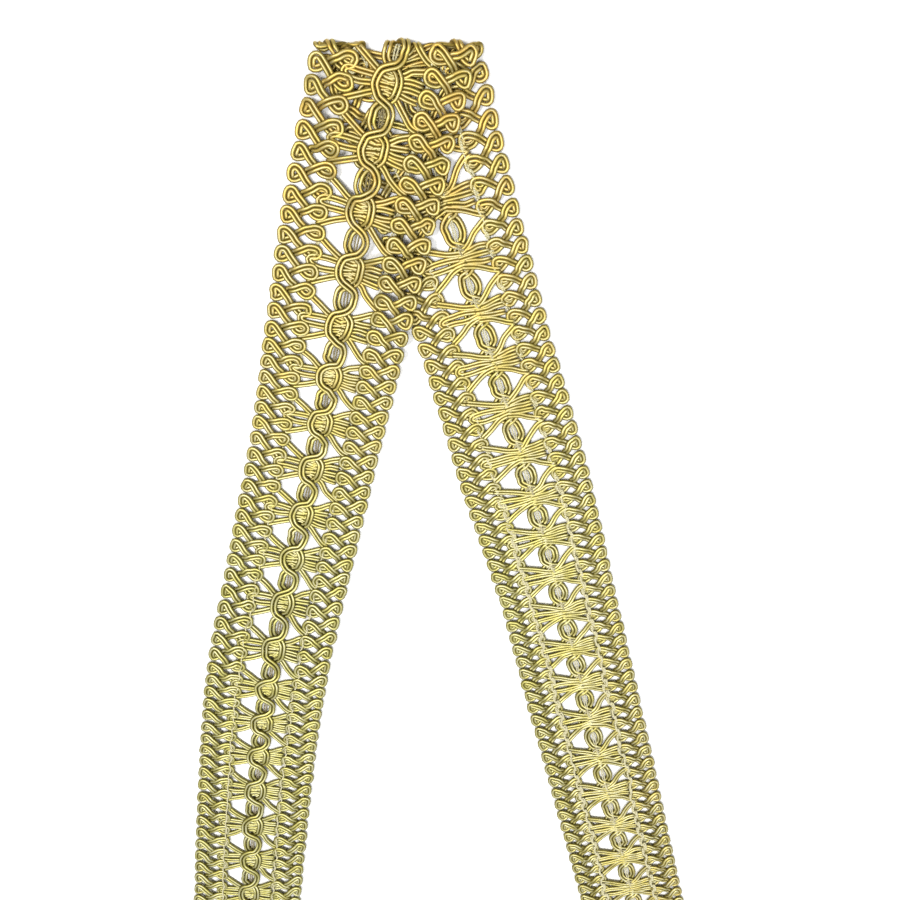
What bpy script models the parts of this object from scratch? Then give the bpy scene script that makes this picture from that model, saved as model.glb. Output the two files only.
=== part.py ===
"""A cut length of openwork gold gimp lace, folded once, flat, so that its halves lie in a narrow V.

Metres, +Z up, resting on the plane z = 0. The fold is at the +Y end and both cut ends point to -Y.
The left half lies face up on top of the right half, which lies face down under it near the fold.
"""

import math
from collections import namedtuple

import bmesh
import bpy
import numpy as np

MM = 0.001

# Driving sizes of the strip
THICKNESS = 2.2 * MM
CHART_PITCH = 20.8 * MM
FIRST_REPEAT = -20
LAST_REPEAT = 20
NOMINAL_HALF_WIDTH = 26.0 * MM

# The flat fold: the bend radius of the strip's middle, and how the top half settles past the lower one
BEND_RADIUS = 1.5 * MM
BEND_SEGMENTS = 6
SETTLE_WIDTH = 12.0 * MM
SETTLE_CLEARANCE = 1.5 * MM
CROSSING_END = 110 * MM

CENTRELINE_STEP = 2 * MM

# How the strip runs when it is opened out again. The distance along it is counted from the fold,
# negative on the face-up half. The heading is the lean of the strip from the Y axis. The reaches are
# from the centre chain to the left and right edges, and the last column counts the pattern's links.
Station = namedtuple("Station", "along_mm heading_deg left_mm right_mm links")
STATIONS = (
    Station(-420, 5.5, 27.0, 24.6, -20.0),
    Station(-313, 8.5, 26.4, 25.4, -15.0),
    Station(-257, 12.2, 27.2, 24.8, -12.0),
    Station(-210, 14.4, 26.0, 24.6, -10.0),
    Station(-148, 13.8, 25.6, 24.5, -7.0),
    Station(-110, 13.2, 26.8, 25.2, -5.0),
    Station(-60, 13.1, 28.0, 26.4, -2.65),
    Station(0, 15.4, 26.6, 26.6, 0.15),
    Station(65, 17.1, 25.4, 24.5, 3.0),
    Station(110, 17.2, 25.0, 23.5, 5.25),
    Station(164, 16.4, 26.4, 24.4, 8.0),
    Station(219, 14.9, 24.4, 23.3, 11.0),
    Station(275, 14.2, 25.0, 23.6, 14.0),
    Station(318, 14.2, 24.4, 24.0, 16.0),
    Station(420, 14.8, 24.6, 23.8, 21.0),
)

# One repeat of the pattern, seen from the front with the fold upwards, in millimetres from the middle
# of a rosette. Each row crosses the strip, and each place on it is (across, up). The columns are the
# left edge, the left border's middle, the two sides of the left gap, the two sides of the link's
# opening, the two sides of the right gap, the right border's middle and the right edge.
Row = namedtuple(
    "Row", "edge_l border_l gap_l1 gap_l2 link_l link_r gap_r1 gap_r2 border_r edge_r"
)
ROSETTE_MIDDLE = Row(
    (-26, 0), (-19, 0), (-11.8, 0), (-5.3, 0), (-2.4, 0),
    (2.2, 0), (4.4, 0), (10.5, 0), (18.5, 0), (26, 0),
)
ROSETTE_FOOT = Row(
    (-26, -6), (-19, -6), (-11.2, -6.9), (-5.3, -5.7), (-1.5, -7.4),
    (1.4, -7.4), (4.7, -7.9), (6.6, -9.6), (18.5, -6), (26, -6),
)
LINK_MIDDLE = Row(
    (-26, -10.4), (-19, -10.4), (-11.9, -9.6), (-5.1, -10.4), (-2.2, -10.4),
    (2.1, -10.4), (4.5, -11), (10.3, -11.9), (18.5, -10.4), (26, -10.4),
)
LINK_FOOT = Row(
    (-26, -14.8), (-19, -14.8), (-11.4, -12.0), (-5.2, -14.2), (-1.4, -13.4),
    (1.3, -13.4), (4.0, -14.8), (8.3, -13.2), (18.5, -14.8), (26, -14.8),
)
REPEAT_ROWS = (ROSETTE_MIDDLE, ROSETTE_FOOT, LINK_MIDDLE, LINK_FOOT)
OPEN_CELLS = (
    Row._fields.index("gap_l1"),
    Row._fields.index("link_l"),
    Row._fields.index("gap_r1"),
)
OPEN_ROWS = (REPEAT_ROWS.index(ROSETTE_FOOT), REPEAT_ROWS.index(LINK_MIDDLE))

# How far the side that lies uppermost stands above or below the plain thickness, in millimetres and
# in the same columns: the rosettes and their crossings on the front, the gathered spokes on the back
FRONT_RELIEF = {
    ROSETTE_MIDDLE: Row(-0.3, 0, -0.2, -0.3, 0.7, 0.7, -0.3, -0.2, 0, -0.3),
    ROSETTE_FOOT: Row(-0.3, 0, -0.3, -0.1, 0.6, 0.6, -0.1, -0.4, 0, -0.3),
    LINK_MIDDLE: Row(-0.3, 0, 0, -0.2, 0, 0, -0.2, 0, 0, -0.3),
    LINK_FOOT: Row(-0.3, 0, -0.3, -0.1, 0.6, 0.6, -0.1, -0.4, 0, -0.3),
}
BACK_RELIEF = {
    ROSETTE_MIDDLE: Row(-0.3, 0, 0, -0.4, 0.3, 0.3, -0.4, 0, 0, -0.3),
    ROSETTE_FOOT: Row(-0.3, 0, -0.2, -0.4, 0, 0, -0.4, -0.2, 0, -0.3),
    LINK_MIDDLE: Row(-0.3, 0, 0, -0.3, 0, 0, -0.3, 0, 0, -0.3),
    LINK_FOOT: Row(-0.3, 0, -0.2, -0.4, 0, 0, -0.4, -0.2, 0, -0.3),
}

GOLD = (0.55, 0.43, 0.13, 1.0)
GOLD_METALLIC = 0.6
GOLD_ROUGHNESS = 0.42

QUARTER_TURN = BEND_RADIUS * math.pi / 2
LOW_MIDDLE = THICKNESS / 2
HIGH_MIDDLE = LOW_MIDDLE + 2 * BEND_RADIUS

table = {
    name: np.array([getattr(row, name) for row in STATIONS], float)
    for name in Station._fields
}
table["along_mm"] *= MM


def station_value(along, name):
    """One column of the stations, between their rows."""
    return float(np.interp(along, table["along_mm"], table[name]))


def along_of(links):
    """The distance along the strip at which this many links have been counted."""
    return float(np.interp(links, table["links"], table["along_mm"]))


def make_centreline():
    """The opened-out strip's centre, as distances along it and their x and y, from the fold."""
    start = table["along_mm"][0]
    end = table["along_mm"][-1]
    along = np.linspace(start, end, round((end - start) / CENTRELINE_STEP) + 1)
    heading = np.radians(np.interp(along, table["along_mm"], table["heading_deg"]))
    between = (heading[1:] + heading[:-1]) / 2
    steps = np.diff(along)
    x = np.concatenate([[0], np.cumsum(np.sin(between) * steps)])
    y = np.concatenate([[0], np.cumsum(np.cos(between) * steps)])
    return along, x - np.interp(0, along, x), y - np.interp(0, along, y)


centreline = make_centreline()


def opened_out(along, across):
    """A place on the strip when it is opened out flat, with the fold's line along y = 0."""
    distances, x, y = centreline
    heading = math.radians(station_value(along, "heading_deg"))
    reach = station_value(along, "left_mm" if across < 0 else "right_mm") * MM
    side = across * reach / NOMINAL_HALF_WIDTH
    return (
        float(np.interp(along, distances, x)) + side * math.cos(heading),
        float(np.interp(along, distances, y)) - side * math.sin(heading),
    )


def lower_edge():
    """A point on the lower half's left edge, and the direction from it over the lower half."""
    x0, y0 = opened_out(0, -NOMINAL_HALF_WIDTH)
    x1, y1 = opened_out(CROSSING_END, -NOMINAL_HALF_WIDTH)
    length = math.hypot(x1 - x0, y1 - y0)
    return (x0, QUARTER_TURN - y0), ((y1 - y0) / length, (x1 - x0) / length)


edge_point, edge_normal = lower_edge()


def top_height(x, y):
    """The height of the top half's middle: raised over the lower half, and settled beside it."""
    over = (x - edge_point[0]) * edge_normal[0] + (y - edge_point[1]) * edge_normal[1]
    share = min(1.0, max(0.0, (over + SETTLE_CLEARANCE + SETTLE_WIDTH) / SETTLE_WIDTH))
    eased = share * share * (3 - 2 * share)
    return LOW_MIDDLE + (HIGH_MIDDLE - LOW_MIDDLE) * eased


def folded(x, y, out):
    """Where a point of the opened-out strip lies once it is folded; out is towards its front."""
    middle_height = LOW_MIDDLE + BEND_RADIUS
    if abs(y) <= QUARTER_TURN:
        turn = -y / BEND_RADIUS
        reach = BEND_RADIUS + out
        return x, reach * math.cos(turn), middle_height + reach * math.sin(turn)
    if y < 0:
        flat_y = y + QUARTER_TURN
        return x, flat_y, top_height(x, flat_y) + out
    return x, QUARTER_TURN - y, LOW_MIDDLE - out


def sides(row, column, face_up):
    """How far the front and the back of the strip stand from its middle at one place."""
    plain = THICKNESS / 2
    if face_up:
        return plain + FRONT_RELIEF[row][column] * MM, plain
    return plain, plain + BACK_RELIEF[row][column] * MM


def strip_rows():
    """Every row of the strip in turn, as (row, number of links at its rosette's middle)."""
    rows = []
    for repeat in range(LAST_REPEAT, FIRST_REPEAT, -1):
        for row in REPEAT_ROWS:
            rows.append((row, repeat + 0.5))
    rows.append((ROSETTE_MIDDLE, FIRST_REPEAT + 0.5))
    return rows


def add_layers(mesh, rows):
    """The strip's front and back points, opened out flat, with their height as z."""
    fronts = []
    backs = []
    for row, links in rows:
        front_row = []
        back_row = []
        for column, (across, up) in enumerate(row):
            along = along_of(links + up * MM / CHART_PITCH)
            x, y = opened_out(along, across * MM)
            front, back = sides(row, column, along < -QUARTER_TURN)
            front_row.append(mesh.verts.new((x, y, front)))
            back_row.append(mesh.verts.new((x, y, -back)))
        fronts.append(front_row)
        backs.append(back_row)
    return fronts, backs


def solid_cells(row_count):
    """The grid's cells that hold lace, without those of the gaps and the links' openings."""
    cells = set()
    for r in range(row_count - 1):
        for c in range(len(Row._fields) - 1):
            if not (r % len(REPEAT_ROWS) in OPEN_ROWS and c in OPEN_CELLS):
                cells.add((r, c))
    return cells


def add_faces(mesh, fronts, backs):
    """Front and back faces over every solid cell, and walls wherever such a cell ends."""
    cells = solid_cells(len(fronts))
    for r, c in sorted(cells):
        ring = ((r, c), (r, c + 1), (r + 1, c + 1), (r + 1, c))
        mesh.faces.new([fronts[i][j] for i, j in ring])
        mesh.faces.new([backs[i][j] for i, j in reversed(ring)])
        beside = ((r - 1, c), (r, c + 1), (r + 1, c), (r, c - 1))
        for k, neighbour in enumerate(beside):
            if neighbour not in cells:
                (i0, j0), (i1, j1) = ring[k], ring[(k + 1) % 4]
                wall = (fronts[i0][j0], backs[i0][j0], backs[i1][j1], fronts[i1][j1])
                mesh.faces.new(wall)


def cut_for_bend(mesh):
    """Edges across the strip along the bend, so that it turns in even steps."""
    for k in range(BEND_SEGMENTS + 1):
        y = QUARTER_TURN * (2 * k / BEND_SEGMENTS - 1)
        everything = list(mesh.verts) + list(mesh.edges) + list(mesh.faces)
        bmesh.ops.bisect_plane(
            mesh,
            geom=everything,
            dist=1e-7,
            plane_co=(0, y, 0),
            plane_no=(0, 1, 0),
        )


def centre_on_base(mesh):
    """Moves the strip so that the middle of its footprint is the origin."""
    places = np.array([vert.co for vert in mesh.verts])
    middle = (places.min(0) + places.max(0)) / 2
    for vert in mesh.verts:
        vert.co.x -= middle[0]
        vert.co.y -= middle[1]


def make_gold():
    """The trim's gold colour."""
    gold = bpy.data.materials.new("gold_gimp")
    gold.use_nodes = True
    shader = gold.node_tree.nodes["Principled BSDF"]
    shader.inputs["Base Color"].default_value = GOLD
    shader.inputs["Metallic"].default_value = GOLD_METALLIC
    shader.inputs["Roughness"].default_value = GOLD_ROUGHNESS
    return gold


def make_lace_trim():
    """The whole folded strip as one closed body."""
    mesh = bmesh.new()
    fronts, backs = add_layers(mesh, strip_rows())
    add_faces(mesh, fronts, backs)
    cut_for_bend(mesh)
    for vert in mesh.verts:
        vert.co = folded(*vert.co)
    centre_on_base(mesh)
    bmesh.ops.triangulate(mesh, faces=mesh.faces, quad_method="SHORT_EDGE")
    bmesh.ops.recalc_face_normals(mesh, faces=mesh.faces)
    data = bpy.data.meshes.new("lace_trim")
    mesh.to_mesh(data)
    mesh.free()
    trim = bpy.data.objects.new("lace_trim", data)
    trim.data.materials.append(make_gold())
    bpy.context.collection.objects.link(trim)
    return trim


def main():
    for old in list(bpy.context.scene.objects):
        bpy.data.objects.remove(old)
    make_lace_trim()


main()
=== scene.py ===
import math

import bpy
import numpy as np
from mathutils import Matrix, Vector


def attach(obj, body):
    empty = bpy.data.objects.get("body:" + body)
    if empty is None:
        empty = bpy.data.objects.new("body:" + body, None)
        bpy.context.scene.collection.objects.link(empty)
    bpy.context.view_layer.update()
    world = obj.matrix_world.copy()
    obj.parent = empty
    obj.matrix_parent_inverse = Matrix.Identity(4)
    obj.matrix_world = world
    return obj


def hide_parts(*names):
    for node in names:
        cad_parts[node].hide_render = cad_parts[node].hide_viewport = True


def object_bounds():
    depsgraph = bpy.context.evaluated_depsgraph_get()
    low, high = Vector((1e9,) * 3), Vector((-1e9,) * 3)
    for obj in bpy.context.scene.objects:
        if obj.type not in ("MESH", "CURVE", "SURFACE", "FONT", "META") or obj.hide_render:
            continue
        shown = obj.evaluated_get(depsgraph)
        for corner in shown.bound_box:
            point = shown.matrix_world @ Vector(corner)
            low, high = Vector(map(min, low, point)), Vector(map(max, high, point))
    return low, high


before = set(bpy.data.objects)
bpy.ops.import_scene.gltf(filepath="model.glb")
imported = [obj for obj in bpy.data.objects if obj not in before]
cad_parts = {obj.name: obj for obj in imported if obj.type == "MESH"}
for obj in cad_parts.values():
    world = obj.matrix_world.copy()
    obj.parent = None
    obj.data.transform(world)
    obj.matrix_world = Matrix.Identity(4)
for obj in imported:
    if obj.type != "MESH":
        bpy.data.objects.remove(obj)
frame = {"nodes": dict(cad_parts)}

mm = 0.001
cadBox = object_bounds()
print("frame loaded:", ", ".join(frame["nodes"]))

# The view, the light and the table
view = {
    "place": (5.277, 187.927, 326.495),  # mm
    "tiltDeg": 67.858,  # below the horizon
    "lens": 36.0,
    "sensor": 36.0,
    "clipStart": 0.01,
    "floor": (0.84, 0.84, 0.835),
    "floorRoughness": 0.8,
    "floorSize": 2.4,
    "sky": (0.95, 0.97, 1.0),
    "skyStrength": 0.42,
    "transform": "Standard",
}
# Each light is (name, place in m, size in m, watts, colour), and looks at the middle of the trim
lamps = (
    ("window", (-0.55, 0.3, 1.15), 0.35, 15, (1.0, 0.98, 0.94)),
    ("fill", (0.9, -0.4, 0.9), 0.8, 4.5, (0.95, 0.97, 1.0)),
    ("above", (0.05, -0.2, 1.4), 0.5, 13, (1.0, 1.0, 1.0)),
)

# The strip: its pattern's pitch, its fold, and how it runs when it is opened out again. A station is
# (along mm, heading deg, left mm, right mm, links counted), the fold at 0, the face-up half below 0
strip = {
    "pitch": 20.8,
    "halfWidth": 26.0,
    "middle": 1.1,
    "bendRadius": 1.5,
    "settleWidth": 12.0,
    "settleClearance": 1.5,
    "crossingEnd": 110.0,
    "faceDownLift": 0.4,
    "firstRepeat": -20,
    "lastRepeat": 20,
    "linePoints": 421,
}
stations = np.array([
    (-420, 5.5, 27.0, 24.6, -20.0),
    (-313, 8.5, 26.4, 25.4, -15.0),
    (-257, 12.2, 27.2, 24.8, -12.0),
    (-210, 14.4, 26.0, 24.6, -10.0),
    (-148, 13.8, 25.6, 24.5, -7.0),
    (-110, 13.2, 26.8, 25.2, -5.0),
    (-60, 13.1, 28.0, 26.4, -2.65),
    (0, 15.4, 26.6, 26.6, 0.15),
    (65, 17.1, 25.4, 24.5, 3.0),
    (110, 17.2, 25.0, 23.5, 5.25),
    (164, 16.4, 26.4, 24.4, 8.0),
    (219, 14.9, 24.4, 23.3, 11.0),
    (275, 14.2, 25.0, 23.6, 14.0),
    (318, 14.2, 24.4, 24.0, 16.0),
    (420, 14.8, 24.6, 23.8, 21.0),
])
stationAlong, stationHeading, stationLeft, stationRight, stationLinks = stations.T
quarterTurn = strip["bendRadius"] * math.pi / 2
repeats = range(strip["firstRepeat"], strip["lastRepeat"] + 1)

# The strip's centre line when it is opened out, from the fold
lineAlong = np.linspace(stationAlong[0], stationAlong[-1], strip["linePoints"])
lineHeading = np.radians(np.interp(lineAlong, stationAlong, stationHeading))
lineStep = np.diff(lineAlong)
between = (lineHeading[1:] + lineHeading[:-1]) / 2
lineX = np.concatenate([[0], np.cumsum(np.sin(between) * lineStep)])
lineY = np.concatenate([[0], np.cumsum(np.cos(between) * lineStep)])
lineX -= np.interp(0, lineAlong, lineX)
lineY -= np.interp(0, lineAlong, lineY)


def openedOut(along, across):
    # A place on the strip when it is opened out flat, with the fold's line along y = 0
    heading = np.radians(np.interp(along, stationAlong, stationHeading))
    left = np.interp(along, stationAlong, stationLeft)
    right = np.interp(along, stationAlong, stationRight)
    side = across * np.where(across < 0, left, right) / strip["halfWidth"]
    x = np.interp(along, lineAlong, lineX) + side * np.cos(heading)
    y = np.interp(along, lineAlong, lineY) - side * np.sin(heading)
    return x, y


def eased(share):
    share = np.clip(share, 0, 1)
    return share * share * (3 - 2 * share)


# The lower half's left edge, which the upper half settles beside
edgeX0, edgeY0 = openedOut(np.array(0.0), np.array(-strip["halfWidth"]))
edgeX1, edgeY1 = openedOut(np.array(strip["crossingEnd"]), np.array(-strip["halfWidth"]))
edgeLength = math.hypot(edgeX1 - edgeX0, edgeY1 - edgeY0)
edgeNormal = ((edgeY1 - edgeY0) / edgeLength, (edgeX1 - edgeX0) / edgeLength)


def folded(x, y, out):
    # Where a place of the opened-out strip lies once it is folded. The bend lies between two flat halves
    lift = strip["faceDownLift"] * eased(0.5 + y / (2 * quarterTurn))
    out = out - lift
    middle = strip["middle"]
    radius = strip["bendRadius"]
    turn = np.clip(-y / radius, -math.pi / 2, math.pi / 2)
    bentY = (radius + out) * np.cos(turn)
    bentZ = middle + radius + (radius + out) * np.sin(turn)
    upY = y + quarterTurn
    over = (x - edgeX0) * edgeNormal[0] + (upY - quarterTurn + edgeY0) * edgeNormal[1]
    settle = eased((over + strip["settleClearance"] + strip["settleWidth"]) / strip["settleWidth"])
    upZ = middle + 2 * radius * settle + out
    newY = np.where(y < -quarterTurn, upY, np.where(y > quarterTurn, quarterTurn - y, bentY))
    newZ = np.where(y < -quarterTurn, upZ, np.where(y > quarterTurn, middle - out, bentZ))
    return np.stack([x, newY, newZ], -1)


def linksAt(path, repeat):
    return repeat + 0.5 + path[:, 1] / strip["pitch"]


def inFoldedFrame(path, repeat):
    # The path's points are (across, up, out) in one repeat's chart, from its rosette's middle
    along = np.interp(linksAt(path, repeat), stationLinks, stationAlong)
    x, y = openedOut(along, path[:, 0])
    return folded(x, y, path[:, 2])


def footprintShift():
    # The corners of the cut ends touch two sides of the frame's box, and so give the fold's place in it
    sides = np.array([-strip["halfWidth"], strip["halfWidth"]])
    ends = []
    for repeat in (strip["firstRepeat"], strip["lastRepeat"]):
        along = np.interp(repeat + 0.5, stationLinks, stationAlong)
        x, y = openedOut(np.full(2, along), sides)
        ends.append(folded(x, y, np.zeros(2)))
    corners = np.concatenate(ends)
    low, high = cadBox
    return np.array([
        high.x / mm - corners[:, 0].max(),
        low.y / mm - corners[:, 1].min(),
        0,
    ])


shift = footprintShift()
print("fold placed, shift in mm:", np.round(shift, 3))


# Cords, all sizes in mm
cordLook = {
    "wander": 0.2,  # how far a hand-fed cord strays
    "shadeSharpness": 1.2,  # how narrow the painted highlight along a cord's crown is, against the painted shade at its sides
    "clearOfTable": 0.02,
    "endShare": 0.6,  # a cut end's radius against the cord's
    "curveSteps": 8,  # steps between two charted points
    "outProbe": 0.05,  # how far a point is raised to find the way out of the folded strip
    "toneLength": 16,  # points over which a cord keeps about one tone
    "seed": 11,
}
chance = np.random.RandomState(cordLook["seed"])


def lengthsAlong(path):
    return np.concatenate([[0], np.cumsum(np.linalg.norm(np.diff(path, axis=0), axis=1))])


def smooth(points, step):
    # A Catmull-Rom curve through the points, read again at even steps
    points = np.asarray(points, float)
    padded = np.concatenate([[2 * points[0] - points[1]], points, [2 * points[-1] - points[-2]]])
    fine = np.linspace(0, 1, cordLook["curveSteps"] + 1)[:-1, None]
    pieces = []
    for a, b, c, d in zip(padded, padded[1:], padded[2:], padded[3:]):
        pieces.append(0.5 * (
            2 * b + (c - a) * fine
            + (2 * a - 5 * b + 4 * c - d) * fine ** 2
            + (3 * b - a - 3 * c + d) * fine ** 3
        ))
    curve = np.concatenate(pieces + [points[-1:]])
    lengths = lengthsAlong(curve)
    count = max(3, int(round(lengths[-1] / step)) + 1)
    even = np.linspace(0, lengths[-1], count)
    return np.stack([np.interp(even, lengths, curve[:, k]) for k in range(3)], 1)


def beside(path, offset):
    # The same path, moved sideways in the strip's own plane
    way = np.gradient(path[:, :2], axis=0)
    way /= np.maximum(np.linalg.norm(way, axis=1), 1e-6)[:, None]
    moved = path.copy()
    moved[:, 0] -= way[:, 1] * offset
    moved[:, 1] += way[:, 0] * offset
    return moved


def strayed(points, amount=cordLook["wander"]):
    # Hand-fed cords never lie quite where the chart has them
    points = np.array(points, float)
    points[:, :2] += chance.normal(0, amount, (len(points), 2))
    return points


def outwardAlong(path, repeat):
    # The way out of the strip's face, at each point of a path once the strip is folded
    raised = path + (0, 0, cordLook["outProbe"])
    outward = inFoldedFrame(raised, repeat) - inFoldedFrame(path, repeat)
    return outward / np.linalg.norm(outward, axis=1)[:, None]


class Bundle:
    # The cords of one piece, each as (points in the part's frame, ways out, radius, tones)
    def __init__(self, sides):
        self.sides = sides
        self.cords = []

    def add(self, path, repeat, radius, evenTone=None):
        # A cord is left out where its path runs past the strip's cut ends
        places = inFoldedFrame(path, repeat)
        places[:, 2] = np.maximum(places[:, 2], radius + cordLook["clearOfTable"])
        outward = outwardAlong(path, repeat)
        links = linksAt(path, repeat)
        inside = (links >= strip["firstRepeat"] + 0.5) & (links <= strip["lastRepeat"] + 0.5)
        stretches = chance.uniform(0, 1, len(path) // cordLook["toneLength"] + 2)
        tone = np.interp(np.linspace(0, len(stretches) - 1, len(path)), np.arange(len(stretches)), stretches)
        if evenTone is not None:
            tone[:] = evenTone
        edges = np.flatnonzero(np.diff(np.concatenate([[0], inside.astype(int), [0]])))
        for start, end in zip(edges[::2], edges[1::2]):
            if end - start >= 3:
                run = slice(start, end)
                self.cords.append((places[run] + shift, outward[run], radius, tone[run]))

    def addPair(self, points, repeat, look):
        # Two cords side by side, with gap between their middles
        path = smooth(points, look["step"])
        for sign in (-1, 1):
            self.add(beside(path, sign * look["gap"] / 2), repeat, look["radius"])


def tubePoints(points, outward, radius, turn):
    # The rings of a tube round a path. They are widened so that each is as wide as a round cord
    way = np.gradient(points, axis=0)
    way /= np.linalg.norm(way, axis=1)[:, None]
    up = outward - way * np.sum(outward * way, 1)[:, None]
    up /= np.linalg.norm(up, axis=1)[:, None]
    across = np.cross(up, way)
    size = np.full(len(points), radius)
    size[[0, -1]] = radius * cordLook["endShare"]
    ring = (
        np.cos(turn)[None, :, None] * across[:, None, :] / np.abs(np.cos(turn)).max()
        + np.sin(turn)[None, :, None] * up[:, None, :]
    )
    return (points[:, None, :] + ring * size[:, None, None]).reshape(-1, 3)


def tubeQuads(count, sides):
    k = np.arange(count - 1)[:, None] * sides
    j = np.arange(sides)[None, :]
    nextJ = (j + 1) % sides
    return np.stack([k + j, k + nextJ, k + sides + nextJ, k + sides + j], -1).reshape(-1, 4)


def tubeUvs(points, sides):
    # The map of one tube: the share of a turn round the cord, and the mm along it
    lengths = lengthsAlong(points)
    around = np.broadcast_to(np.arange(sides) / sides, (len(points) - 1, sides))
    near = np.broadcast_to(lengths[:-1, None], around.shape)
    far = np.broadcast_to(lengths[1:, None], around.shape)
    return np.stack([
        np.stack([around, near], -1), np.stack([around + 1 / sides, near], -1),
        np.stack([around + 1 / sides, far], -1), np.stack([around, far], -1),
    ], 2).reshape(-1, 2)


def addPointValues(mesh, name, values):
    layer = mesh.attributes.new(name, "FLOAT", "POINT")
    layer.data.foreach_set("value", np.concatenate(values))


def sweptMesh(name, bundle):
    # Every cord as a closed tube, joined into one mesh
    sides = bundle.sides
    turn = np.linspace(0, 2 * math.pi, sides, endpoint=False) + math.pi / 2  # a point on top
    # Painted light round each cord: 0 on top, where the highlight is painted, 1 at the sides, where the
    # shade is painted
    shade = np.abs(np.cos(turn)) ** cordLook["shadeSharpness"]
    verts, faces, uvs, tones, shades = [], [], [], [], []
    base = 0
    for points, outward, radius, tone in bundle.cords:
        count = len(points)
        end = base + count * sides
        verts.append(tubePoints(points, outward, radius, turn))
        faces.extend((tubeQuads(count, sides) + base).tolist())
        faces.append(list(range(base + sides - 1, base - 1, -1)))
        faces.append(list(range(end - sides, end)))
        uvs.append(tubeUvs(points, sides))
        uvs.append(np.zeros((2 * sides, 2)))
        tones.append(np.repeat(tone, sides))
        shades.append(np.tile(shade, count))
        base = end
    mesh = bpy.data.meshes.new(name)
    mesh.from_pydata(np.concatenate(verts) * mm, [], faces)
    layer = mesh.uv_layers.new(name="cord")
    layer.data.foreach_set("uv", np.concatenate(uvs).ravel())
    addPointValues(mesh, "tone", tones)
    addPointValues(mesh, "shade", shades)
    mesh.polygons.foreach_set("use_smooth", np.ones(len(mesh.polygons), bool))
    mesh.update()
    piece = bpy.data.objects.new(name, mesh)
    bpy.context.collection.objects.link(piece)
    triangles = sum(len(p.vertices) - 2 for p in mesh.polygons)
    print(f"{name}: {len(bundle.cords)} cords, {triangles} triangles")
    return piece


# The centre chain: two pairs that cross over each other twice in each repeat
chain = {
    "step": 0.6,
    "radius": 0.74,
    "gap": 1.55,
    "wander": 0.12,
    "sides": 8,
    "over": [
        (2.9, 10.4, 0.35), (2.7, 8.2, 0.6), (1.4, 6.2, 1.0), (-1.0, 5.0, 1.15), (-3.2, 3.6, 1.0),
        (-4.2, 1.2, 0.9), (-4.2, -1.0, 0.9), (-3.6, -3.1, 1.0), (-2.1, -4.8, 1.15),
        (0.1, -5.9, 1.15), (1.8, -7.1, 0.9), (2.8, -8.8, 0.5),
    ],
    "under": [
        (-2.9, 10.4, 0.4), (-2.9, 8.2, 0.3), (-2.0, 6.4, -0.05), (-0.2, 5.2, -0.25), (1.7, 4.3, 0.2),
        (3.0, 2.6, 0.7), (3.2, 0.2, 0.85), (3.0, -2.3, 0.7), (2.2, -4.1, 0.2), (0.5, -5.4, -0.25),
        (-1.6, -6.6, -0.05), (-2.8, -8.4, 0.3),
    ],
}


def buildChain():
    bundle = Bundle(chain["sides"])
    for name in ("over", "under"):
        points = []
        for repeat in reversed(repeats):
            drop = (strip["lastRepeat"] - repeat) * strip["pitch"]
            points.extend((x, y - drop, out) for x, y, out in chain[name])
        bundle.addPair(strayed(points, chain["wander"]), strip["lastRepeat"], chain)
    return sweptMesh("centre_chain", bundle)


# The spokes that run from the rosettes to the borders, and cross in the rosettes' middles
spokes = {
    "step": 1.0,
    "radius": 0.61,
    "gap": 1.24,
    "sides": 6,
    "routes": [
        [(-13.0, 9.2, -0.3), (-8.6, 6.3, 0.1), (-4.8, 3.6, -0.2), (-1.5, 2.5, -0.3), (1.4, 2.0, -0.2)],
        [
            (1.3, 0.9, -0.5), (-4.8, 1.8, -0.1), (-10.0, 2.0, 0.0), (-13.6, 1.7, 0.1),
            (-15.0, 0.3, 0.1), (-13.6, -1.1, 0.1), (-10.0, -1.4, 0.0), (-4.8, -1.2, -0.2),
            (1.2, -0.4, -0.3),
        ],
        [
            (-14.4, -7.9, -0.3), (-9.0, -5.4, 0.0), (-4.8, -3.6, -0.2), (-1.5, -2.6, -0.4),
            (1.4, -2.0, -0.5),
        ],
        [(13.0, 7.6, -0.3), (10.2, 6.8, 0.1), (7.0, 5.2, 0.1), (3.8, 3.4, -0.2), (-1.2, 2.4, -0.5)],
        [(11.0, 2.4, 0.0), (7.0, 2.4, 0.1), (3.8, 1.8, -0.2), (-1.3, 0.9, -0.3)],
        [(11.0, -0.5, 0.0), (7.0, -0.4, 0.0), (3.8, -0.4, -0.3), (-1.3, -0.5, -0.5)],
        [(11.0, -3.4, 0.0), (7.0, -3.1, 0.1), (3.8, -2.6, -0.2), (-1.3, -1.8, -0.3)],
        [
            (13.4, -12.2, -0.3), (10.4, -10.9, 0.0), (7.1, -8.2, 0.1), (4.4, -5.2, -0.1),
            (1.8, -3.4, -0.4), (-1.0, -2.6, -0.5),
        ],
    ],
}


def buildSpokes():
    bundle = Bundle(spokes["sides"])
    for repeat in repeats:
        for route in spokes["routes"]:
            bundle.addPair(strayed(route), repeat, spokes)
    return sweptMesh("spokes", bundle)


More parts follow.
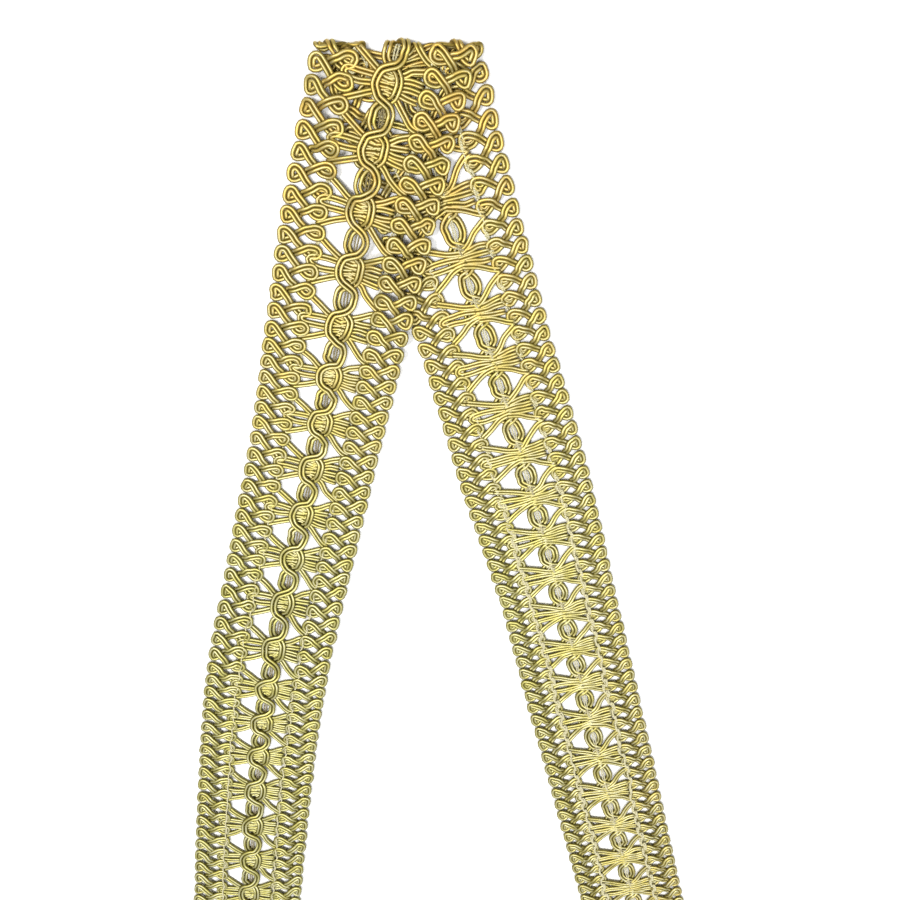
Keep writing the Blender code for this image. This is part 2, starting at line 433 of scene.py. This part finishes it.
# The borders: in each, one pair winds round an outer eye, crosses over and under itself to an inner
# eye, and comes back. The route is one such stretch of the left border, down the strip from the
# outer eye's middle. The eyes drift along the strip against the rosettes, by mm at some repeats
borders = {
    "step": 0.66,
    "radius": 0.68,
    "gap": 1.4,
    "sides": 6,
    "perRepeat": 3,
    "wander": 0.14,
    "innerEye": 9.0,
    "route": [
        (-2.0, -0.9, 0.1), (-2.0, 0.9, 0.25), (-1.4, 1.95, 0.4), (0.0, 1.8, 0.6), (1.6, 0.55, 0.8),
        (3.2, -0.9, 0.95), (4.6, -2.1, 0.5), (5.9, -3.2, -0.4), (7.3, -4.1, -0.4), (8.9, -4.6, -0.2),
        (10.4, -4.3, 0.0), (11.1, -3.3, 0.2), (11.1, -2.1, 0.35), (10.3, -1.1, 0.5), (8.9, -0.9, 0.65),
        (7.3, -1.7, 0.85), (5.7, -2.9, 0.95), (4.3, -4.1, 0.6), (3.2, -5.1, -0.25), (2.2, -6.3, -0.45),
        (1.1, -7.6, -0.4), (-0.2, -8.6, -0.3), (-1.5, -8.9, -0.1),
    ],
    # The short cord that fills the inner eye
    "core": [(6.9, -3.2, -0.2), (8.1, -2.5, 0.0), (9.3, -2.4, 0.1), (10.1, -2.9, 0.0), (9.4, -3.4, -0.2)],
    "coreShare": 0.7,
    "coreStep": 0.8,
    "driftRepeats": (-15, -11, -7, -3, 3, 20),
    "left": {
        "outerEye": (-23.1, -0.4),
        "outerDrift": (0.4, 0.6, 1.4, 0.4, 1.6, 2.6),
        "innerDrift": (-0.6, -0.8, -0.8, -0.6, 1.0, 1.0),
    },
    "right": {
        "outerEye": (22.4, 0.0),
        "outerDrift": (3.5, 2.9, 1.6, 0.6, 1.2, 1.6),
        "innerDrift": (2.4, 2.1, 1.6, 1.4, 1.2, 1.2),
    },
}


def borderPlace(route, side, repeat, k):
    # One loop's stretch of a border, in the last repeat's chart
    eyeX, eyeY = borders[side]["outerEye"]
    inward = -math.copysign(1, eyeX)
    outerDrift = np.interp(repeat, borders["driftRepeats"], borders[side]["outerDrift"])
    innerDrift = np.interp(repeat, borders["driftRepeats"], borders[side]["innerDrift"])
    placed = strayed(route, borders["wander"])
    share = np.clip(placed[:, 0] / borders["innerEye"], 0, 1)
    down = (strip["lastRepeat"] - repeat + (k - 1) / borders["perRepeat"]) * strip["pitch"]
    placed[:, 1] += eyeY - down + outerDrift + (innerDrift - outerDrift) * share
    placed[:, 0] = eyeX + placed[:, 0] * inward
    return placed


def buildBorder(name, side):
    bundle = Bundle(borders["sides"])
    coreRadius = borders["radius"] * borders["coreShare"]
    stretches = []
    for repeat in reversed(repeats):
        for k in range(borders["perRepeat"]):
            stretches.append(borderPlace(borders["route"], side, repeat, k))
            core = smooth(borderPlace(borders["core"], side, repeat, k), borders["coreStep"])
            bundle.add(core, strip["lastRepeat"], coreRadius)
    bundle.addPair(np.concatenate(stretches), strip["lastRepeat"], borders)
    return sweptMesh(name, bundle)


# The pale threads that bind the braid along its back, and show a little on its face far from the fold
ties = {
    "sides": 5,
    # Each thread is (radius mm, phase, reach mm, whether it lies on the face)
    "threads": ((0.4, 0.0, 0.85, False), (0.32, 0.9, 0.7, False), (0.3, 2.2, 0.5, True)),
    "columns": (-12.6, 11.7),
    "columnTone": 0.85,
    "stitchesPerRepeat": 3,
    "stitchStray": 0.4,
    "stitchWidths": (0.4, 1.5),  # the narrowest and widest stitch against the thread's reach
    "sunkRepeats": (-16, -9, -4, 4, 10, 16),
    "backDepth": (-1.0, -1.0, -0.9, 0.6, -0.75, -1.1),
    "faceHeight": (0.9, 0.1, -0.9, 0.2, -0.3, -0.3),
    "dip": 0.315,
    "pointsPerStitch": 16,
    # One link's threads, from the rosette above it to the one below it
    "centreRadius": 0.28,
    "centreStep": 0.9,
    "centreStray": 0.12,
    "centre": [
        (0.3, -2.0, -0.6), (0.4, -4.6, -0.9), (0.5, -6.6, -0.6), (0.9, -8.8, -0.2), (1.0, -10.6, -0.2),
        (0.9, -12.6, -0.3), (0.5, -14.6, -0.5), (0.3, -16.4, -0.5), (0.2, -18.8, -0.1),
    ],
    "centreSpread": (-0.55, 0.45),
    "centreTones": (0.0, 0.8),  # on the face-up half and on the other
    # The knot that holds the waist of each rosette at the back
    "knotRadius": 0.3,
    "knotStep": 0.6,
    "knotStray": 0.15,
    "knots": [
        [(-2.0, -3.6, -0.7), (-0.9, -4.7, -1.1), (0.6, -5.2, -1.1), (2.1, -4.7, -0.8)],
        [(-2.3, -5.6, -0.4), (-1.0, -5.0, -1.0), (0.3, -4.4, -1.25), (1.5, -3.4, -0.9)],
        [(-0.6, -6.6, -0.4), (-0.2, -5.2, -1.1), (0.2, -3.4, -1.1), (0.3, -1.6, -0.9)],
    ],
}


def stitchColumn(column, phase, heights, reach, stray):
    # One thread that winds from each inner eye to the next, whose stitches vary as hand stitches do
    perRepeat = ties["stitchesPerRepeat"]
    turn = np.arange(len(stray) * ties["pointsPerStitch"]) * 2 * math.pi / ties["pointsPerStitch"]
    stitches = turn[::ties["pointsPerStitch"]]
    width = reach * np.interp(turn, stitches, chance.uniform(*ties["stitchWidths"], len(stitches)))
    down = strip["pitch"] * turn / (2 * math.pi * perRepeat)
    height = np.interp(strip["lastRepeat"] - down / strip["pitch"], ties["sunkRepeats"], heights)
    dip = ties["dip"] * (np.sin(turn + phase + 1.0) + 0.5 * np.sin(2.3 * turn + phase))
    return np.stack([
        column + width * np.sin(turn + phase) + np.interp(turn, stitches, stray),
        strip["pitch"] / 2 - down + 0.9 * width * np.sin(2 * turn + phase),
        height + dip,
    ], 1)


def addColumnThreads(bundle):
    stitchCount = len(repeats) * ties["stitchesPerRepeat"]
    for column in ties["columns"]:
        stray = chance.normal(0, ties["stitchStray"], stitchCount)
        for radius, phase, reach, onFace in ties["threads"]:
            heights = ties["faceHeight"] if onFace else ties["backDepth"]
            thread = stitchColumn(column, phase, heights, reach, stray)
            bundle.add(thread, strip["lastRepeat"], radius, evenTone=ties["columnTone"])


def addCentreThreads(bundle, repeat):
    tone = ties["centreTones"][0 if repeat < 0 else 1]
    for spread in ties["centreSpread"]:
        points = strayed(ties["centre"], ties["centreStray"])
        points[:, 0] *= spread
        bundle.add(smooth(points, ties["centreStep"]), repeat, ties["centreRadius"], evenTone=tone)
    for knot in ties["knots"]:
        bundle.add(smooth(strayed(knot, ties["knotStray"]), ties["knotStep"]), repeat, ties["knotRadius"])


def buildTies():
    bundle = Bundle(ties["sides"])
    addColumnThreads(bundle)
    for repeat in repeats:
        addCentreThreads(bundle, repeat)
    return sweptMesh("tie_threads", bundle)


# Finishes
goldLook = {
    "warm": (0.54, 0.35, 0.07, 1),
    "warmShare": 1.6,
    "warmFrom": 0.0,  # m along y, where the warm tone starts towards the fold and is fullest
    "warmTo": 0.2,
    "lowRightWarmth": 0.4,
    "lowRightFrom": 0.03,  # m along x
    "lowRightTo": 0.11,
    "middle": (0.34, 0.295, 0.042, 1),
    "pale": (0.50, 0.475, 0.155, 1),
    "patchScale": 45,
    "patchDetail": 3,
    # The crown colours are a painted highlight along each cord's top, dimmer towards the fold
    "paintedHighlight": (0.61, 0.60, 0.425, 1),
    "paintedHighlightNearFold": (0.36, 0.315, 0.145, 1),
    "crownReach": 0.2,  # m along y, from the origin to where each painted highlight colour is whole
    "crownShares": (0.25, 1.0),  # where the painted highlight is dullest and brightest
    "crownFrom": 0.5,
    "crownTo": 0.08,
    # The groove colour is painted shade at each cord's sides, between it and its neighbour
    "paintedGrooveShade": (0.07, 0.055, 0.007, 1),
    "grooveShadeFrom": 0.28,
    "grooveShadeShare": 0.95,
    # The sparkle noise breaks the painted highlight into painted glints along each crown
    "sparkleScale": 260,
    "sparkleDetail": 1,
    "sparkleFrom": 0.35,
    "sparkleTo": 0.62,
    "metallic": 0.68,
    "specular": 0.25,
    "roughness": (0.37, 0.55),
    "wrapPitch": 0.4,  # mm
    "wrapDepth": 0.00002,
    "wrapStrength": 0.2,
}


def node(tree, kind, place, **values):
    made = tree.nodes.new(kind)
    made.location = place
    for key, value in values.items():
        setattr(made, key, value)
    return made


def feed(tree, socket, value):
    # A socket takes a plain value or a link from another node's output
    if isinstance(value, (int, float, tuple)):
        socket.default_value = value
    else:
        tree.links.new(value, socket)


def mathNode(tree, operation, place, *values):
    made = node(tree, "ShaderNodeMath", place, operation=operation)
    for socket, value in zip(made.inputs, values):
        feed(tree, socket, value)
    return made.outputs[0]


def mixColour(tree, place, factor, a, b):
    made = node(tree, "ShaderNodeMix", place, data_type="RGBA")
    for socket, value in zip((made.inputs[0], made.inputs[6], made.inputs[7]), (factor, a, b)):
        feed(tree, socket, value)
    return made.outputs[2]


def rangeNode(tree, place, value, fromValues=(0.0, 1.0), toValues=(0.0, 1.0)):
    made = node(tree, "ShaderNodeMapRange", place, clamp=True)
    feed(tree, made.inputs["Value"], value)
    made.inputs["From Min"].default_value = fromValues[0]
    made.inputs["From Max"].default_value = fromValues[1]
    made.inputs["To Min"].default_value = toValues[0]
    made.inputs["To Max"].default_value = toValues[1]
    return made.outputs[0]


def noiseNode(tree, place, coords, scale, detail):
    made = node(tree, "ShaderNodeTexNoise", place)
    tree.links.new(coords, made.inputs["Vector"])
    made.inputs["Scale"].default_value = scale
    made.inputs["Detail"].default_value = detail
    return made.outputs[0]


def pointValue(tree, place, name):
    return node(tree, "ShaderNodeAttribute", place, attribute_name=name).outputs["Fac"]


def wrapBump(tree, pitch, depth, strength):
    # The helix of the thread that wraps the cord, from the cord's own (around, along) map
    uv = node(tree, "ShaderNodeUVMap", (-1400, -500), uv_map="cord")
    parts = node(tree, "ShaderNodeSeparateXYZ", (-1200, -500))
    tree.links.new(uv.outputs[0], parts.inputs[0])
    turns = mathNode(tree, "DIVIDE", (-1000, -600), parts.outputs[1], pitch)
    phase = mathNode(tree, "ADD", (-800, -500), parts.outputs[0], turns)
    angle = mathNode(tree, "MULTIPLY", (-600, -500), phase, 2 * math.pi)
    wave = mathNode(tree, "SINE", (-400, -500), angle)
    bump = node(tree, "ShaderNodeBump", (-200, -400))
    bump.inputs["Strength"].default_value = strength
    bump.inputs["Distance"].default_value = depth
    tree.links.new(wave, bump.inputs["Height"])
    return wave, bump.outputs[0]


def flankColour(tree, axes, patches):
    # The cords' flanks: patches of middle and pale gold, warmer towards the fold and at the low right
    look = goldLook
    towardsFold = rangeNode(tree, (-1200, 200), axes.outputs[1], (look["warmFrom"], look["warmTo"]))
    lowRight = rangeNode(
        tree, (-1200, 400), axes.outputs[0],
        (look["lowRightFrom"], look["lowRightTo"]), (0.0, look["lowRightWarmth"]),
    )
    warmth = mathNode(tree, "MAXIMUM", (-1000, 300), towardsFold, lowRight)
    mixed = mathNode(tree, "ADD", (-1000, 0), patches, pointValue(tree, (-1400, -200), "tone"))
    halved = mathNode(tree, "MULTIPLY", (-850, 0), mixed, 0.5)
    warmed = mathNode(tree, "MULTIPLY", (-700, 150), halved, warmth)
    warmShare = mathNode(tree, "MULTIPLY", (-600, 150), warmed, look["warmShare"])
    flank = mixColour(tree, (-500, 300), halved, look["middle"], look["pale"])
    return mixColour(tree, (-350, 300), warmShare, flank, look["warm"])


def paintedHighlightAndShade(tree, axes, coords, flank):
    # A painted highlight along each cord's top, and painted shade between it and its neighbour
    look = goldLook
    # The shade value places both the painted highlight and the painted shade round each cord
    shade = pointValue(tree, (-700, -100), "shade")
    paintedHighlight = rangeNode(tree, (-500, 50), shade, (look["crownFrom"], look["crownTo"]))
    # Painted glints: noise that makes the painted highlight stronger or weaker along the cord
    sparkle = noiseNode(tree, (-900, -300), coords, look["sparkleScale"], look["sparkleDetail"])
    crownShare = rangeNode(
        tree, (-700, -300), sparkle,
        (look["sparkleFrom"], look["sparkleTo"]), look["crownShares"],
    )
    # The crown mask and its share give where the painted highlight shows
    shine = mathNode(tree, "MULTIPLY", (-350, 50), paintedHighlight, crownShare)
    reach = look["crownReach"]
    upStrip = rangeNode(tree, (-1200, 600), axes.outputs[1], (-reach, reach))
    highlightColour = mixColour(tree, (-400, 500), upStrip, look["paintedHighlight"], look["paintedHighlightNearFold"])
    withPaintedHighlight = mixColour(tree, (-250, 300), shine, flank, highlightColour)
    # Painted shade: the cord's sides are darkened towards the groove colour
    grooveShadeMix = rangeNode(tree, (-500, -100), shade, (look["grooveShadeFrom"], 1.0), (0.0, look["grooveShadeShare"]))
    return mixColour(tree, (-150, 300), grooveShadeMix, withPaintedHighlight, look["paintedGrooveShade"])


def makeGold():
    gold = bpy.data.materials.new("gimpGold")
    gold.use_nodes = True
    tree = gold.node_tree
    shader = tree.nodes["Principled BSDF"]
    coords = node(tree, "ShaderNodeTexCoord", (-1600, 200)).outputs["Object"]
    axes = node(tree, "ShaderNodeSeparateXYZ", (-1400, 200))
    tree.links.new(coords, axes.inputs[0])
    patches = noiseNode(tree, (-1400, 0), coords, goldLook["patchScale"], goldLook["patchDetail"])
    flank = flankColour(tree, axes, patches)
    tree.links.new(paintedHighlightAndShade(tree, axes, coords, flank), shader.inputs["Base Color"])
    bump = wrapBump(tree, goldLook["wrapPitch"], goldLook["wrapDepth"], goldLook["wrapStrength"])[1]
    tree.links.new(bump, shader.inputs["Normal"])
    rough = rangeNode(tree, (-400, -250), patches, toValues=goldLook["roughness"])
    tree.links.new(rough, shader.inputs["Roughness"])
    shader.inputs["Metallic"].default_value = goldLook["metallic"]
    shader.inputs["Specular IOR Level"].default_value = goldLook["specular"]
    return gold


threadLook = {
    "tan": (0.20, 0.16, 0.06, 1),
    "light": (0.74, 0.70, 0.46, 1),
    # Painted shade in the grooves between the plies
    "paintedPlyShade": (0.40, 0.36, 0.17, 1),
    "roughness": 0.75,
    "sheen": 0.3,
    "plyPitch": 0.9,  # mm
    "plyDepth": 0.00012,
    "plyStrength": 0.8,
}


def makeThread():
    thread = bpy.data.materials.new("paleThread")
    thread.use_nodes = True
    tree = thread.node_tree
    shader = tree.nodes["Principled BSDF"]
    wave, bump = wrapBump(tree, threadLook["plyPitch"], threadLook["plyDepth"], threadLook["plyStrength"])
    # The plies are painted darker where the wrap's wave is low: painted shade in the ply grooves
    share = rangeNode(tree, (-500, 200), wave, (-1.0, 1.0))
    plies = mixColour(tree, (-350, 200), share, threadLook["paintedPlyShade"], threadLook["light"])
    tone = pointValue(tree, (-500, 400), "tone")
    tree.links.new(mixColour(tree, (-200, 300), tone, threadLook["tan"], plies), shader.inputs["Base Color"])
    tree.links.new(bump, shader.inputs["Normal"])
    shader.inputs["Roughness"].default_value = threadLook["roughness"]
    shader.inputs["Sheen Weight"].default_value = threadLook["sheen"]
    return thread


gold = makeGold()
thread = makeThread()
print("finishes made")

leftBorder = buildBorder("left_border", "left")
rightBorder = buildBorder("right_border", "right")
chainPiece = buildChain()
spokePiece = buildSpokes()
tiePiece = buildTies()

goldPieces = [leftBorder, rightBorder, chainPiece, spokePiece]
for piece in goldPieces + [tiePiece]:
    isGold = piece in goldPieces
    piece.data.materials.append(gold if isGold else thread)
    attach(piece, "root")
    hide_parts("lace_trim")

print("pieces placed")


def makeFloor():
    floorMesh = bpy.data.meshes.new("floor")
    half = view["floorSize"] / 2
    corners = [(-half, -half, 0), (half, -half, 0), (half, half, 0), (-half, half, 0)]
    floorMesh.from_pydata(corners, [], [(0, 1, 2, 3)])
    floor = bpy.data.objects.new("floor", floorMesh)
    bpy.context.collection.objects.link(floor)
    paint = bpy.data.materials.new("floorPaint")
    paint.use_nodes = True
    shader = paint.node_tree.nodes["Principled BSDF"]
    shader.inputs["Base Color"].default_value = (*view["floor"], 1)
    shader.inputs["Roughness"].default_value = view["floorRoughness"]
    floor.data.materials.append(paint)


def makeLights():
    for name, place, size, watts, colour in lamps:
        data = bpy.data.lights.new(name, "AREA")
        data.shape = "SQUARE"
        data.size = size
        data.energy = watts
        data.color = colour
        lamp = bpy.data.objects.new(name, data)
        lamp.location = place
        lamp.rotation_euler = (-Vector(place)).to_track_quat("-Z", "Y").to_euler()
        bpy.context.collection.objects.link(lamp)
    world = bpy.data.worlds.new("studio")
    world.use_nodes = True
    background = world.node_tree.nodes["Background"]
    background.inputs["Color"].default_value = (*view["sky"], 1)
    background.inputs["Strength"].default_value = view["skyStrength"]
    bpy.context.scene.world = world
    bpy.context.scene.view_settings.view_transform = view["transform"]


def makeCamera():
    data = bpy.data.cameras.new("camera")
    data.lens = view["lens"]
    data.sensor_width = view["sensor"]
    data.clip_start = view["clipStart"]
    camera = bpy.data.objects.new("camera", data)
    tilt = Matrix.Rotation(math.radians(view["tiltDeg"] - 90), 4, "X")
    camera.matrix_world = Matrix.Translation(Vector(view["place"]) * mm) @ tilt
    bpy.context.collection.objects.link(camera)
    bpy.context.scene.camera = camera


makeFloor()
makeLights()
makeCamera()
bpy.context.view_layer.update()
